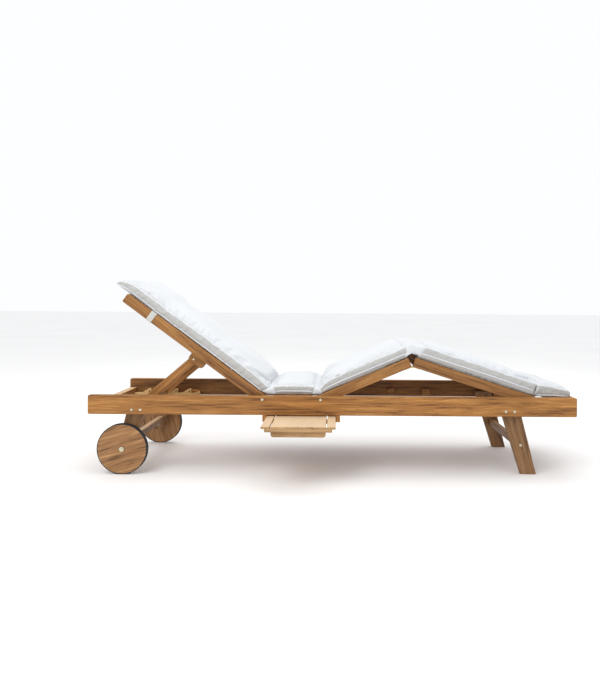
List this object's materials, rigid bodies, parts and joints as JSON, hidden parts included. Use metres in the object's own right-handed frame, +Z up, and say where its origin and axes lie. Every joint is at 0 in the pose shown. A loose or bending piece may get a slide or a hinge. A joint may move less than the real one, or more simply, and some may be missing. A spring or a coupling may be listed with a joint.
{
  "type": "reclining sun lounger",
  "caption": "Wooden garden sun lounger with a propped reclining back, a bending knee section, wheels at the head end, a slide-out tray and a padded cushion.",
  "frame": {"origin": "centre of the whole lounger's box on the floor, with the tray pulled out as stored; the lounger's own centreline is at Y = +0.104 m", "axes": "+X from the head end to the foot end, +Y towards the occupant's left, +Z up"},
  "size_m": [2, 0.8526, 0.7925],
  "materials": {
    "frame_wood": "oiled hardwood",
    "leg_wood": "oiled hardwood, darker",
    "light_wood": "oiled hardwood, lighter",
    "wheel_wood": "oiled hardwood",
    "tyre_rubber": "matt rubber band",
    "zinc_steel": "yellow zinc plated",
    "dark_screws": "blackened",
    "brass": "satin",
    "cushion_fabric": "off-white woven polyester"
  },
  "bodies": {
    "chassis": {"axles": "zinc_steel", "end_cushion": "cushion_fabric", "end_slats": "frame_wood", "foot_cross_rail": "frame_wood", "foot_leg_left": "leg_wood", "foot_leg_right": "leg_wood", "foot_stretcher": "leg_wood", "frame_bolts": "zinc_steel", "head_cross_rail": "frame_wood", "hub_caps": "zinc_steel", "knee_ledges": "frame_wood", "pivot_bolts": "zinc_steel", "pivot_washers": "zinc_steel", "ratchet_left": "light_wood", "ratchet_packers": "light_wood", "ratchet_right": "light_wood", "ratchet_screws": "dark_screws", "rest_blocks": "frame_wood", "seat_cushion": "cushion_fabric", "seat_slats": "frame_wood", "side_rail_left": "frame_wood", "side_rail_right": "frame_wood", "slat_cleats": "frame_wood", "tray_runner_foot": "frame_wood", "tray_runner_head": "frame_wood", "wheel_leg_left": "leg_wood", "wheel_leg_right": "leg_wood", "wheel_spacers": "zinc_steel", "wheel_stretcher": "leg_wood"},
    "backrest": {"backrest_stile_right": "frame_wood", "backrest_stile_left": "frame_wood", "backrest_slats": "frame_wood", "backrest_braces": "frame_wood", "prop_brackets": "frame_wood", "prop_bolts": "zinc_steel", "back_cushion": "cushion_fabric"},
    "prop": {"prop_arm_right": "frame_wood", "prop_arm_left": "frame_wood", "prop_bar": "frame_wood"},
    "thigh_panel": {"thigh_stile_right": "frame_wood", "thigh_stile_left": "frame_wood", "thigh_slats": "frame_wood", "thigh_braces": "frame_wood", "thigh_cushion": "cushion_fabric", "knee_hinge_thigh_leaves": "brass", "knee_hinge_pins": "brass"},
    "foot_panel": {"foot_stile_right": "frame_wood", "foot_stile_left": "frame_wood", "foot_slats": "frame_wood", "foot_braces": "frame_wood", "foot_cushion": "cushion_fabric", "knee_hinge_foot_leaves": "brass"},
    "tray": {"tray_side_boards": "light_wood", "tray_centre_board": "light_wood", "tray_battens": "light_wood", "tray_grip": "light_wood"},
    "wheel_right": {"wheel_disc_right": "wheel_wood", "tyre_right": "tyre_rubber"},
    "wheel_left": {"wheel_disc_left": "wheel_wood", "tyre_left": "tyre_rubber"}
  },
  "joints": [
    {"name": "backrest_hinge", "type": "hinge", "parent": "chassis", "child": "backrest", "pos_m": [-0.287, 0.10375, 0.3046], "axis": [0, 1, 0], "range_deg": [-36.2, 14.1]},
    {"name": "prop_hinge", "type": "hinge", "parent": "backrest", "child": "prop", "pos_m": [-0.58076, 0.10375, 0.46198], "axis": [0, 1, 0], "range_deg": [-33, 81]},
    {"name": "thigh_hinge", "type": "hinge", "parent": "chassis", "child": "thigh_panel", "pos_m": [-0.049, 0.10375, 0.3046], "axis": [0, -1, 0], "range_deg": [-23.2, 0]},
    {"name": "knee_hinge", "type": "hinge", "parent": "thigh_panel", "child": "foot_panel", "pos_m": [0.32969, 0.10375, 0.43644], "axis": [0, -1, 0], "range_deg": [-1, 42]},
    {"name": "tray_slide", "type": "slide", "parent": "chassis", "child": "tray", "axis": [0, 1, 0], "range_m": [-0.03, 0.23]},
    {"name": "wheel_right_spin", "type": "hinge", "parent": "chassis", "child": "wheel_right", "pos_m": [-0.8536, -0.20075, 0.1025], "axis": [0, 1, 0], "continuous": true},
    {"name": "wheel_left_spin", "type": "hinge", "parent": "chassis", "child": "wheel_left", "pos_m": [-0.8536, 0.40825, 0.1025], "axis": [0, 1, 0], "continuous": true}
  ],
  "couplings": [
    {"joint": "prop_hinge", "follows": "backrest_hinge", "ratio": -2.19},
    {"joint": "knee_hinge", "follows": "thigh_hinge", "ratio": -1.7709}
  ]
}
